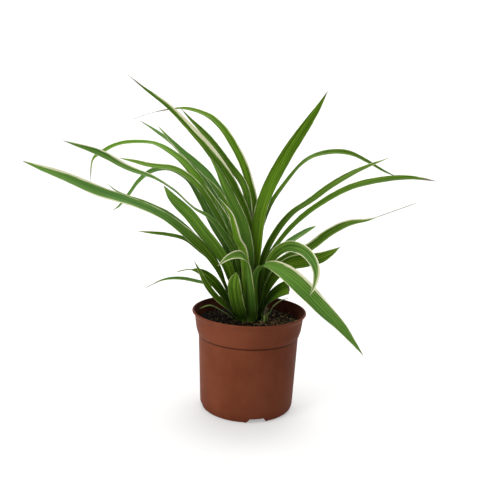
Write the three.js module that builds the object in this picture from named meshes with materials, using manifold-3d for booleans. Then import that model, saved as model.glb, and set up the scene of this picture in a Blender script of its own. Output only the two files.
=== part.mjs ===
// Potted spider plant: a plastic nursery pot, compost, a rooted crown and its leaves.
// Millimetres, +Z up. The origin is the centre of the flat underside of the pot.
import * as THREE from 'three';
import { mergeVertices } from 'three/addons/utils/BufferGeometryUtils.js';
import Module from 'manifold-3d';

const wasm = await Module();
wasm.setup();

// Pot
const RIM_R = 60;
const POT_H = 105;
const WALL = 1.6;
const FLOOR = 2;
const COLLAR_TOP = { r: 57.2, z: 99.6 };
const COLLAR_FOOT = { r: 55.4, z: 86 };
const STEP = { r: 53.4, z: 79.6 };
const BODY_TOP = { r: 52.7, z: 78.8 };
const BODY_FOOT = { r: 49.7, z: 9 };
const FOOT_R = 46.6;
const POT_SIDES = 60;

// Drain recesses in the foot, a quarter turn apart
const DRAIN_COUNT = 4;
const DRAIN_FIRST = -77.3;
const DRAIN = { wide: 21, narrow: 14, high: 5, deep: 18, skin: 1.4 };
const DRAIN_HOLE = { long: 9, wide: 5 };
const HOOD_OUT = 46;
const CUT_OUT = 60;

// Compost and the place of the plant in it
const GAP = 0.3;
const SOIL_Z = 92;
const MOUND = 2;
const SOIL_BUMP = 1.3;
const PLANT = { x: -1, y: 4 };
const CROWN = { r: 16.6, foot: 78, top: 85.7 };
const MOUTH_R = 20;

// Leaves: bases stand in nested rings on the crown
const RING_FIRST = 1.6;
const RING_STEP = 1.3;
const BLADE = 0.75;
const TIP_WIDTH = 1;
const STATION = 13;
const SHEATH = 6.8;
const SHEATH_SHARE = 0.6;
const FOLD = 16;
const SWELL_END = 0.4;
const TURN_END = 0.35;
const TAPER_START = 0.45;
const BASE_Z = CROWN.top + GAP;
const COLLAR_Z = 95;

const MATERIALS = {
  pot: new THREE.MeshStandardMaterial({ color: 0x82482e, roughness: 0.55, metalness: 0 }),
  soil: new THREE.MeshStandardMaterial({ color: 0x2a1d14, roughness: 0.95, metalness: 0 }),
  crown: new THREE.MeshStandardMaterial({ color: 0x8a8a52, roughness: 0.7, metalness: 0 }),
  leaf: new THREE.MeshStandardMaterial({ color: 0x3d6b1c, roughness: 0.45, metalness: 0 }),
};

// Each leaf stands on ring number `ring` of the crown, at the bearing `at` in degrees from +X towards
// +Y. From there `route` lists points as [run away from its own foot, height above the table], and
// `heading` is the bearing of that run at the first and last of them. `face` is the bearing that the
// back of the blade looks to, where it isn't the way that the leaf goes. `roll` turns the blade about
// its midrib, in degrees at even steps from base to tip. `point` is larger where the blade keeps its
// width further out, `tail` is the share of the length that has dried to a thread, and a `cut` leaf
// ends blunt.
const LEAVES = [
  { name: 'leaf_tall_left', ring: 2, at: 100, heading: [177, 174], face: 90, width: 12, point: 1.8,
    roll: [0, 0, 0, -20, -20],
    route: [[-2, 146], [0, 167], [2, 188], [7, 206], [23, 239],
      [44, 269], [66, 292], [89, 313], [114, 330], [132, 343]] },
  { name: 'leaf_tall_right', ring: 2, at: 336, heading: [30, 28], face: 78, width: 14.5, point: 3.5,
    roll: [0, 0, 0, -15, -12, 10, 20, 20, 20],
    route: [[2, 156], [3, 184], [8, 215], [18, 239], [38, 272], [61, 303], [73, 320], [82, 335]] },
  { name: 'leaf_tall_slender', ring: 4, at: 105, heading: [160, 155], face: 90, width: 8, point: 4,
    roll: [0, -10, -15, -10],
    route: [[0, 193], [7, 233], [26, 256], [48, 280], [73, 301], [86, 312]] },
  { name: 'leaf_right_arch_back', ring: 3, at: 8, heading: [39, 39], face: 60, width: 9, point: 5,
    roll: [0, -5, -10, -20, -25, 25, 55, 60, 60],
    route: [[3, 155], [5, 184], [16, 212], [38, 237], [59, 256], [74, 264],
      [104, 270], [137, 269], [170, 259], [200, 248], [228, 240]] },
  { name: 'leaf_centre_short', ring: 3, at: 190, heading: [182, 180], face: 235, width: 9, point: 3.5,
    roll: [0, -10, -20, -20],
    route: [[3, 175], [12, 199], [26, 224], [36, 236], [49, 247]] },
  { name: 'leaf_centre_dark', ring: 4, at: 246, heading: [200, 200], face: 270, width: 12, point: 3.5,
    roll: [0, 0, 0, 0],
    route: [[-1, 164], [6, 194], [19, 221], [27, 236], [34, 250], [44, 264]] },
  { name: 'leaf_centre_pale', ring: 4, at: 188, heading: [176, 172], face: 230, width: 7, point: 4,
    roll: [0, -20, -30],
    route: [[6, 173], [16, 197], [27, 214], [38, 228], [46, 237]] },
  { name: 'leaf_right_long_upper', ring: 4, at: 32, heading: [25, 25], width: 11, point: 4,
    roll: [0, 15, 12, 22, 20],
    route: [[7, 140], [11, 162], [24, 186], [41, 205], [63, 218],
      [88, 234], [113, 247], [138, 257], [165, 266]] },
  { name: 'leaf_back_twisted', ring: 7, at: 118, heading: [148, 148], width: 9, point: 3.5,
    roll: [0, -40, -55, -60, -50],
    route: [[13, 181], [24, 209], [37, 227], [52, 243], [69, 255], [85, 265], [102, 277], [122, 293]] },
  { name: 'leaf_left_hooked', ring: 6, at: 133, heading: [160, 148], width: 12, point: 5.5,
    roll: [0, -30, -55, -40, -15, -8, -28, -55, -70],
    route: [[10, 160], [30, 196], [51, 230], [74, 254], [94, 266], [114, 273],
      [136, 274], [167, 271], [195, 261], [216, 250], [225, 222]] },
  { name: 'leaf_right_long_middle', ring: 5, at: 339, heading: [8, -8], width: 11, point: 5,
    roll: [0, 25, 33, 38],
    route: [[6, 137], [10, 158], [18, 172], [38, 198], [62, 219],
      [91, 237], [120, 246], [149, 250], [174, 248]] },
  { name: 'leaf_back_long_arch', ring: 7, at: 85, heading: [140, 140], face: 90, width: 9.5, point: 3.5,
    tail: 0.09, roll: [0, 0, 10, 8, -32, -55],
    route: [[-3, 158], [-2, 212], [4, 233], [16, 258], [29, 275], [44, 291],
      [58, 301], [72, 307], [103, 313], [136, 311], [162, 307], [196, 299]] },
  { name: 'leaf_centre_bright', ring: 6, at: 268, heading: [222, 208], face: 262, width: 9,
    roll: [0, 0, 0],
    route: [[10, 171], [17, 182], [25, 207], [33, 218], [40, 227]] },
  { name: 'leaf_left_straight', ring: 6, at: 176, heading: [176, 172], width: 8.5, point: 8,
    roll: [0, -35, -40],
    route: [[14, 178], [31, 210], [51, 236], [72, 249], [99, 252], [120, 256], [133, 258]] },
  { name: 'leaf_left_upper', ring: 6, at: 226, heading: [196, 196], width: 11, point: 5,
    roll: [0, -30, -50, -40, -8, -4, -30, -60, -60],
    route: [[7, 157], [21, 183], [37, 202], [54, 213], [73, 230],
      [93, 242], [118, 251], [145, 265], [179, 276]] },
  { name: 'leaf_right_hanging', ring: 6, at: 320, heading: [331, 306], width: 12.5, point: 3.2,
    roll: [0, 15, 45, 85, 85, 62, 52, 47, 45],
    route: [[8, 117], [12, 148], [22, 168], [37, 178], [53, 179],
      [69, 174], [81, 163], [83, 148], [82, 139]] },
  { name: 'leaf_right_short_back', ring: 7, at: 51, heading: [42, 44], width: 10, point: 6,
    roll: [0, 5, 20],
    route: [[10, 133], [24, 154], [50, 170], [78, 180], [97, 185]] },
  { name: 'leaf_left_broad', ring: 7, at: 214, heading: [186, 180], width: 13, point: 6.5,
    roll: [0, -55, -75, -75],
    route: [[14, 150], [26, 169], [41, 187], [55, 204], [72, 220], [82, 233]] },
  { name: 'leaf_back_left', ring: 8, at: 125, heading: [140, 140], width: 9, point: 5,
    roll: [0, -20, -10],
    route: [[28, 200], [75, 246], [105, 270], [138, 286], [170, 299]] },
  { name: 'leaf_left_arched', ring: 8, at: 171, heading: [174, 166], width: 11.5, point: 6,
    roll: [0, -43, -28, -50],
    route: [[12, 167], [27, 192], [42, 220], [56, 240], [76, 249],
      [97, 245], [112, 233], [123, 219], [136, 205], [144, 200]] },
  { name: 'leaf_back_centre', ring: 8, at: 89, heading: [88, 96], width: 13, roll: [0, 0, 0],
    route: [[4, 122], [21, 158], [53, 186], [99, 186], [137, 166]] },
  { name: 'leaf_left_low', ring: 8, at: 199, heading: [184, 178], width: 7, point: 6,
    roll: [0, -20, -26, -30],
    route: [[11, 125], [26, 153], [42, 167], [57, 178], [75, 182], [90, 183], [107, 184]] },
  { name: 'leaf_right_broad', ring: 8, at: 331, heading: [350, 354], width: 16, point: 4,
    roll: [0, 30, 65, 70],
    route: [[4, 110], [9, 128], [19, 147], [31, 157], [46, 161], [62, 165], [74, 172], [81, 177]] },
  { name: 'leaf_right_long_low', ring: 8, at: 16, heading: [12, 13], width: 13.5, point: 3, tail: 0.2,
    roll: [0, 20, 28, 30, 10],
    route: [[4, 124], [12, 146], [32, 161], [53, 170], [73, 185],
      [95, 196], [118, 200], [137, 206], [175, 219]] },
  { name: 'leaf_front_right_large', ring: 9, at: 288, heading: [300, 326], width: 19.5, point: 2.2,
    roll: [0, 5, 15, 6, 30, 52, 55, 52, 50],
    route: [[3, 98], [4, 119], [4, 135], [7, 150], [18, 159], [42, 156],
      [69, 142], [87, 128], [107, 112], [117, 99], [125, 87]] },
  { name: 'leaf_left_behind', ring: 9, at: 150, heading: [172, 176], width: 9, point: 5,
    roll: [0, -10, -15],
    route: [[25, 145], [45, 175], [73, 199], [102, 212], [124, 219], [134, 224], [142, 231]] },
  { name: 'leaf_left_longest', ring: 9, at: 219, heading: [198, 193], width: 13, point: 6,
    roll: [0, -25, -50, -55, -35, -35, -55, -52, -50],
    route: [[12, 122], [23, 149], [38, 170], [59, 189], [81, 205],
      [108, 217], [141, 228], [173, 242], [201, 252], [212, 256]] },
  { name: 'leaf_low_dark', ring: 10, at: 179, heading: [186, 180], width: 11.5, point: 3, tail: 0.15,
    roll: [0, -50, -60],
    route: [[3, 105], [15, 123], [26, 136], [39, 144], [50, 145], [62, 142]] },
  { name: 'leaf_back_low_left', ring: 10, at: 110, heading: [112, 108], width: 12, roll: [0, 0, 0],
    route: [[9, 118], [29, 148], [62, 166], [105, 160]] },
  { name: 'leaf_back_low_right', ring: 10, at: 58, heading: [66, 64], width: 12, roll: [0, 0, 0],
    route: [[8, 112], [25, 142], [53, 158], [87, 148]] },
  { name: 'leaf_low_whip', ring: 10, at: 144, heading: [166, 165], width: 6.5, point: 3, tail: 0.05,
    roll: [0, -20, -40],
    route: [[6, 105], [17, 118], [29, 125], [43, 127], [63, 129], [84, 126], [107, 114]] },
  { name: 'leaf_front_short', ring: 10, at: 250, heading: [240, 236], face: 250, width: 16, point: 6,
    roll: [0, 0, 0],
    route: [[8, 105], [14, 116], [18, 128], [20, 139], [16, 150]] },
  { name: 'leaf_soil_pale', ring: 11, at: 201, heading: [198, 190], width: 5.5, roll: [0, 0, 0],
    route: [[4, 97], [12, 103], [25, 110], [31, 109], [37, 106]] },
  { name: 'leaf_front_left_spear', ring: 11, at: 220, heading: [219, 211], width: 10,
    roll: [0, -50, -70],
    route: [[12, 109], [28, 124], [39, 138], [46, 152], [51, 162]] },
  { name: 'leaf_front_folded', ring: 11, at: 282, heading: [262, 226], width: 12, point: 3,
    roll: [0, 0, 0, -10, -20, -35, -65, -45, -30],
    route: [[5, 107], [9, 122], [13, 143], [17, 163], [26, 170], [41, 169], [51, 161]] },
  { name: 'leaf_sheath_old', ring: 11, at: 318, heading: [320, 320], width: 7, roll: [0, 0, 0],
    route: [[8, 95], [8, 106], [9, 114]] },
  { name: 'leaf_cut_stub', ring: 11, at: 348, heading: [337, 335], width: 17.5,
    roll: [0, 30, 55], cut: true,
    route: [[-1, 103], [7, 118], [17, 127], [27, 133]] },
  { name: 'leaf_right_small_pale', ring: 11, at: 12, heading: [352, 352], width: 5, roll: [0, 0, 0],
    route: [[7, 99], [11, 107], [20, 115], [28, 118]] },
];

const rad = THREE.MathUtils.degToRad;
const smooth = (t) => THREE.MathUtils.smoothstep(t, 0, 1);

// Solids

function toSolid(geometry) {
  const bare = geometry.clone();
  bare.deleteAttribute('normal');
  bare.deleteAttribute('uv');
  const merged = mergeVertices(bare, 1e-4);
  return new wasm.Manifold(new wasm.Mesh({
    numProp: 3,
    vertProperties: new Float32Array(merged.attributes.position.array),
    triVerts: new Uint32Array(merged.index.array),
  }));
}

function toGeometry(solid) {
  const { vertProperties, triVerts } = solid.getMesh();
  const geometry = new THREE.BufferGeometry();
  geometry.setAttribute('position', new THREE.BufferAttribute(new Float32Array(vertProperties), 3));
  geometry.setIndex(new THREE.BufferAttribute(new Uint32Array(triVerts), 1));
  geometry.computeVertexNormals();
  return geometry;
}

// A solid of revolution about Z from [radius, height] pairs, listed upwards on the outside.
function turned(profile, sides) {
  const geometry = new THREE.LatheGeometry(profile.map(([r, z]) => new THREE.Vector2(r, z)), sides);
  return geometry.rotateX(Math.PI / 2);
}

function wallRadius(z) {
  const points = [BODY_FOOT, BODY_TOP, STEP, COLLAR_FOOT, COLLAR_TOP];
  const above = Math.max(1, points.findIndex((point) => point.z >= z));
  const [a, b] = [points[above - 1], points[above]];
  return a.r + (b.r - a.r) * (z - a.z) / (b.z - a.z);
}

// Pot

function drainPlaces() {
  return Array.from({ length: DRAIN_COUNT }, (_, k) => rad(DRAIN_FIRST + k * 360 / DRAIN_COUNT));
}

// A trapezoid prism that lies along a radius, with its wide side down.
function drainWedge(wide, narrow, high, near, far, turn) {
  const shape = new THREE.Shape([
    new THREE.Vector2(-wide / 2, 0),
    new THREE.Vector2(wide / 2, 0),
    new THREE.Vector2(narrow / 2, high),
    new THREE.Vector2(-narrow / 2, high),
  ]);
  const geometry = new THREE.ExtrudeGeometry(shape, { depth: far - near, bevelEnabled: false });
  geometry.rotateX(Math.PI / 2).rotateZ(Math.PI / 2).translate(near, 0, 0).rotateZ(turn);
  return geometry;
}

function potGeometry() {
  const outside = [
    [0, 0], [FOOT_R, 0], [FOOT_R + 1.7, 1.1], [BODY_FOOT.r - 0.3, 4.2], [BODY_FOOT.r, BODY_FOOT.z],
    [BODY_TOP.r, BODY_TOP.z], [STEP.r, STEP.z], [COLLAR_FOOT.r, COLLAR_FOOT.z],
    [COLLAR_TOP.r, COLLAR_TOP.z], [RIM_R - 0.6, POT_H - 2.4], [RIM_R, POT_H - 1.7],
    [RIM_R, POT_H - 0.8], [RIM_R - 0.6, POT_H - 0.1], [RIM_R - 1.3, POT_H],
  ];
  const inside = [
    [RIM_R - 2.2, POT_H - 0.7], [RIM_R - 2.7, POT_H - 2.4], [COLLAR_TOP.r - WALL, COLLAR_TOP.z],
    [COLLAR_FOOT.r - WALL, COLLAR_FOOT.z], [STEP.r - WALL, STEP.z], [BODY_TOP.r - WALL, BODY_TOP.z],
    [BODY_FOOT.r - WALL, BODY_FOOT.z], [FOOT_R - WALL, FLOOR], [0, FLOOR],
  ];
  let pot = toSolid(turned([...outside, ...inside], POT_SIDES));
  const { wide, narrow, high, deep, skin } = DRAIN;
  const inner = BODY_FOOT.r - deep;
  for (const turn of drainPlaces()) {
    const hood = drainWedge(wide + 2 * skin, narrow + 2 * skin, high + skin, inner, HOOD_OUT, turn);
    pot = pot.add(toSolid(hood));
    const clear = drainWedge(wide, narrow, high, inner + skin, CUT_OUT, turn).translate(0, 0, -0.01);
    pot = pot.subtract(toSolid(clear));
    const hole = new THREE.BoxGeometry(DRAIN_HOLE.wide, DRAIN_HOLE.long, 4 * skin);
    hole.translate(BODY_FOOT.r - deep / 2, 0, high + skin).rotateZ(turn);
    pot = pot.subtract(toSolid(hole));
  }
  return toGeometry(pot);
}

// Compost

// Height of the loose crumbs at a place, a fixed sum of waves.
function crumbs(x, y) {
  const wave = (fx, fy, turn) => Math.sin(fx * x + fy * y + turn);
  const long = 0.5 * wave(0.31, 0.17, 0.4) + 0.4 * wave(-0.23, 0.41, 1.7);
  const short = 0.3 * wave(0.62, -0.35, 2.6);
  return SOIL_BUMP * (long + short);
}

function soilGeometry() {
  const mouth = CROWN.r + GAP;
  const side = (z) => [wallRadius(z) - WALL - GAP, z];
  const edge = side(SOIL_Z)[0];
  const topRings = [0, 0.14, 0.3, 0.46, 0.62, 0.78, 0.9].map((t) => {
    const r = edge + (MOUTH_R - edge) * t;
    return [r, SOIL_Z + MOUND * smooth(t)];
  });
  const profile = [
    [0, FLOOR + GAP], [FOOT_R - WALL - GAP, FLOOR + GAP], side(BODY_FOOT.z), side(BODY_TOP.z),
    side(STEP.z), side(COLLAR_FOOT.z), ...topRings, [MOUTH_R, SOIL_Z + MOUND],
    [mouth, CROWN.top], [mouth, CROWN.foot - GAP], [0, CROWN.foot - GAP],
  ];
  const geometry = turned(profile, 48);
  const position = geometry.attributes.position;
  for (let i = 0; i < position.count; i += 1) {
    const x = position.getX(i);
    const y = position.getY(i);
    const z = position.getZ(i);
    const r = Math.hypot(x, y);
    if (z > SOIL_Z - 1 && r < edge - 1) position.setZ(i, z + crumbs(x, y));
    // The hole for the crown lies off the pot's axis.
    const share = 1 - smooth((r - MOUTH_R) / (edge - MOUTH_R));
    if (z > COLLAR_FOOT.z - 10) position.setXY(i, x + PLANT.x * share, y + PLANT.y * share);
  }
  let soil = toSolid(geometry);
  const { wide, narrow, high, deep, skin } = DRAIN;
  const spare = 2 * (skin + GAP);
  for (const turn of drainPlaces()) {
    const inner = BODY_FOOT.r - deep - GAP;
    const hood = drainWedge(wide + spare, narrow + spare, high + skin + GAP, inner, CUT_OUT, turn);
    soil = soil.subtract(toSolid(hood));
  }
  return toGeometry(soil);
}

function crownGeometry() {
  const { r, foot, top } = CROWN;
  const under = [[0, foot], [r - 3, foot], [r - 0.7, foot + 2]];
  const profile = [...under, [r, foot + 4.5], [r - 0.4, top], [0, top]];
  return turned(profile, 36).translate(PLANT.x, PLANT.y, 0);
}

// Leaves

function around(bearing, reach, height) {
  return new THREE.Vector3(
    PLANT.x + reach * Math.cos(rad(bearing)), PLANT.y + reach * Math.sin(rad(bearing)), height);
}

function ringRadius(ring) {
  return RING_FIRST + ring * RING_STEP;
}

function leafRoute({ ring, at, heading, route }) {
  const [from, to] = heading;
  const foot = around(at, ringRadius(ring), BASE_Z);
  const points = route.map(([run, height], k) => {
    const bearing = rad(from + (to - from) * k / (route.length - 1));
    return new THREE.Vector3(foot.x + run * Math.cos(bearing), foot.y + run * Math.sin(bearing), height);
  });
  return [foot, new THREE.Vector3(foot.x, foot.y, COLLAR_Z), ...points];
}

function along(list, t) {
  const place = t * (list.length - 1);
  const k = Math.min(Math.floor(place), list.length - 2);
  return list[k] + (list[k + 1] - list[k]) * (place - k);
}

// Width of a blade at a share t of its length: a narrow sheath, widest near the middle, a long taper.
function widthAt({ ring, width, point = 2.4, tail = 0, cut }, t) {
  const sheath = Math.min(SHEATH, SHEATH_SHARE * width, 1.3 * ringRadius(ring) + 1.2);
  const swell = sheath + (width - sheath) * smooth(t / SWELL_END);
  if (cut) return swell;
  const out = THREE.MathUtils.clamp((t - TAPER_START) / (1 - tail - TAPER_START), 0, 1);
  return Math.max(TIP_WIDTH, swell * (1 - out ** point));
}

function leafGeometry(leaf) {
  const points = leafRoute(leaf);
  const curve = new THREE.CatmullRomCurve3(points, false, 'centripetal');
  const steps = Math.max(8, Math.round(curve.getLength() / STATION));
  const spine = curve.getSpacedPoints(steps);
  const last = points[points.length - 1];
  const onward = THREE.MathUtils.radToDeg(Math.atan2(last.y - PLANT.y, last.x - PLANT.x));
  const turn = THREE.MathUtils.euclideanModulo((leaf.face ?? onward) - leaf.at + 180, 360) - 180;
  const vertices = [];
  spine.forEach((point, i) => {
    const t = i / steps;
    const width = widthAt(leaf, t);
    const tangent = spine[Math.min(i + 1, steps)].clone().sub(spine[Math.max(i - 1, 0)]).normalize();
    const bearing = rad(leaf.at + turn * smooth(t / TURN_END));
    const side = new THREE.Vector3(-Math.sin(bearing), Math.cos(bearing), 0);
    side.addScaledVector(tangent, -side.dot(tangent)).normalize();
    side.applyAxisAngle(tangent, rad(along(leaf.roll, t)));
    const up = tangent.clone().cross(side);
    const nested = width / (4 * ringRadius(leaf.ring));
    const raise = nested + (rad(FOLD) - nested) * smooth(t / TURN_END);
    // Past the nested bases the route runs through the middle of the channel, not along its keel.
    const sunk = Math.sin(raise) * width / 4 * smooth(t / TURN_END);
    for (const offset of [BLADE / 2, -BLADE / 2]) {
      for (const share of [-1, 0, 1]) {
        const half = share * width / 2;
        vertices.push(point.clone()
          .addScaledVector(side, half * Math.cos(raise))
          .addScaledVector(up, Math.abs(half) * Math.sin(raise) - sunk + offset));
      }
    }
  });
  const index = [];
  const quad = (a, b, c, d) => index.push(a, b, c, a, c, d);
  for (let i = 0; i < steps; i += 1) {
    const [p, q] = [i * 6, i * 6 + 6];
    for (const j of [0, 1]) {
      quad(p + j, q + j, q + j + 1, p + j + 1);
      index.push(p + j + 3, p + j + 4, q + j + 4, p + j + 3, q + j + 4, q + j + 3);
    }
    quad(p, p + 3, q + 3, q);
    quad(p + 2, q + 2, q + 5, p + 5);
  }
  const end = steps * 6;
  for (const j of [0, 1]) {
    quad(j, j + 1, j + 4, j + 3);
    quad(end + j, end + j + 3, end + j + 4, end + j + 1);
  }
  const geometry = new THREE.BufferGeometry().setFromPoints(vertices);
  geometry.setIndex(index);
  geometry.computeVertexNormals();
  return geometry;
}

// The model

const plant = new THREE.Group();

function place(name, geometry, material) {
  const mesh = new THREE.Mesh(geometry, material);
  mesh.name = name;
  plant.add(mesh);
}

place('pot', potGeometry(), MATERIALS.pot);
place('soil', soilGeometry(), MATERIALS.soil);
place('crown', crownGeometry(), MATERIALS.crown);
for (const leaf of LEAVES) place(leaf.name, leafGeometry(leaf), MATERIALS.leaf);

export default plant;
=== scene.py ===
"""Spider plant in a plastic nursery pot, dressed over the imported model.

Metres, in the model's own frame: the origin is the centre of the pot's underside and +Z is up.
Lengths that are easier to think of in millimetres are written in them and multiplied by MM.
"""
from math import atan2, cos, degrees, hypot, pi, radians, sin

import bmesh
import bpy
from mathutils import Matrix, Vector


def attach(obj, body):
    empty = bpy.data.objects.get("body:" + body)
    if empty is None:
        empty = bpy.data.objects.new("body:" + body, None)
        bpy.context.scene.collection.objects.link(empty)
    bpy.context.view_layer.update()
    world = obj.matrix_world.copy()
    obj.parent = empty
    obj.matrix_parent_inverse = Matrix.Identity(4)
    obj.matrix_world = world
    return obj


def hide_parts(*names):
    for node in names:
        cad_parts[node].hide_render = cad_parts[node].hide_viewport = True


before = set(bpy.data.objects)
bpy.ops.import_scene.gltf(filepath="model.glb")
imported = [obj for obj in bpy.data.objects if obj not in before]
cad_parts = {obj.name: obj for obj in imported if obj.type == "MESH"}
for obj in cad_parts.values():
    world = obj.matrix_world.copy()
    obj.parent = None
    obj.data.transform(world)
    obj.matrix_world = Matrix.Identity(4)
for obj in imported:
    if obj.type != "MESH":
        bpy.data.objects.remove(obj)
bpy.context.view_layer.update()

MM = 0.001

# Camera: distance in metres, downward tilt and lean in degrees, focal length and side of the square
# frame in pixels, aim point in mm
CAMERA = dict(away=0.65, tilt=9.903, lean=1.941, focal=627.615, frame=480, aim=(-12.233, 0, 178.939))

# Lamps: places, aims and sizes in metres, power in watts
LAMPS = (
    dict(name="key light", place=(-1.4, -1.15, 1.25), aim=(0, 0, 0.15), size=1.0, power=19),
    dict(name="top light", place=(0.2, 0.3, 1.9), aim=(0, 0, 0.1), size=1.6, power=13),
    dict(name="floor light", place=(0.0, 1.3, 2.2), aim=(0, 1.8, 0.0), size=2.0, power=40),
)
SKY_STRENGTH = 0.6

# Studio floor in metres: its near end, where it bends up and in what radius, its top, its half
# width, and how far it lies below the pot
SWEEP = dict(near=-3.5, bend=1.2, radius=1.5, top=4.5, half=4, drop=0.0002)

# Pot, in mm. Pairs are a radius and a height on the outside. The lip's bead turns from one angle in
# degrees to another.
WALL = 1.6
FLOOR = 2
BEAD = dict(r=1.2, out=58.8, up=103.8, low=-50, high=190, count=18)
COLLAR_TOP = (57.2, 99.6)
COLLAR_FOOT = (55.4, 86)
STEP = (53.4, 79.6)
UNDER_STEP = (52.85, 79.2)
BODY_TOP = (52.7, 78.8)
BODY_FOOT = (49.7, 9)
FOOT_R = 46.6
FOOT_EDGE = ((48.3, 1.1), (49.4, 4.2))
LIP_FOOT = (58.9, 102)
POT_SIDES = 144

# Drain recesses, in mm: how many, the first one's bearing in degrees, the size of each and of the
# slot in it, and how far out the hoods and the cutting boxes reach
DRAIN_COUNT = 4
DRAIN_FIRST = -77.3
DRAIN = dict(wide=21, narrow=14, high=5, deep=18, skin=1.4)
DRAIN_HOLE = dict(long=9, wide=5)
HOOD_OUT = 46
CUT_OUT = 60

# Faces of a box whose corners are listed one end after the other
BOX_FACES = ((3, 2, 1, 0), (4, 5, 6, 7), (0, 1, 5, 4), (1, 2, 6, 5), (2, 3, 7, 6), (3, 0, 4, 7))

# Compost and crown, in mm. PLANT is where the plant's centre stands.
GAP = 0.3
SOIL_Z = 92
MOUND = 2
SOIL_BUMP = 1.3
PLANT = (-1, 4)
CROWN = dict(r=16.6, foot=78, top=85.7)
MOUTH_R = 20
SOIL_SIDES = 120
SOIL_RINGS = 34
CROWN_SIDES = 72

# Leaves: lengths in mm, FOLD in degrees, the rest shares of a leaf's width or length and counts
RING_FIRST = 1.6
RING_STEP = 1.3
SHEATH = 6.8
SHEATH_SHARE = 0.6
FOLD = 16
SWELL_END = 0.4
TURN_END = 0.35
TAPER_START = 0.45
BASE_Z = CROWN["top"] + GAP
UPRIGHT_Z = 95
THICKNESS = 0.55
RIPPLE = 0.45
RIPPLE_LENGTH = 19
RIPPLE_HALF = 0.007
TIP_WIDTH = 0.9
TAIL_WIDTH = 1.3
TAPER = 2.4
STATION = 3.2
FEWEST_STATIONS = 24
CURVE_STEPS = 24
TORN = 2.6
TORN_START = 0.86
COLUMNS = 24
MARGIN = (0.1, 0.2)
DRY = 0.008
NO_SCAR = 2.0

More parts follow.
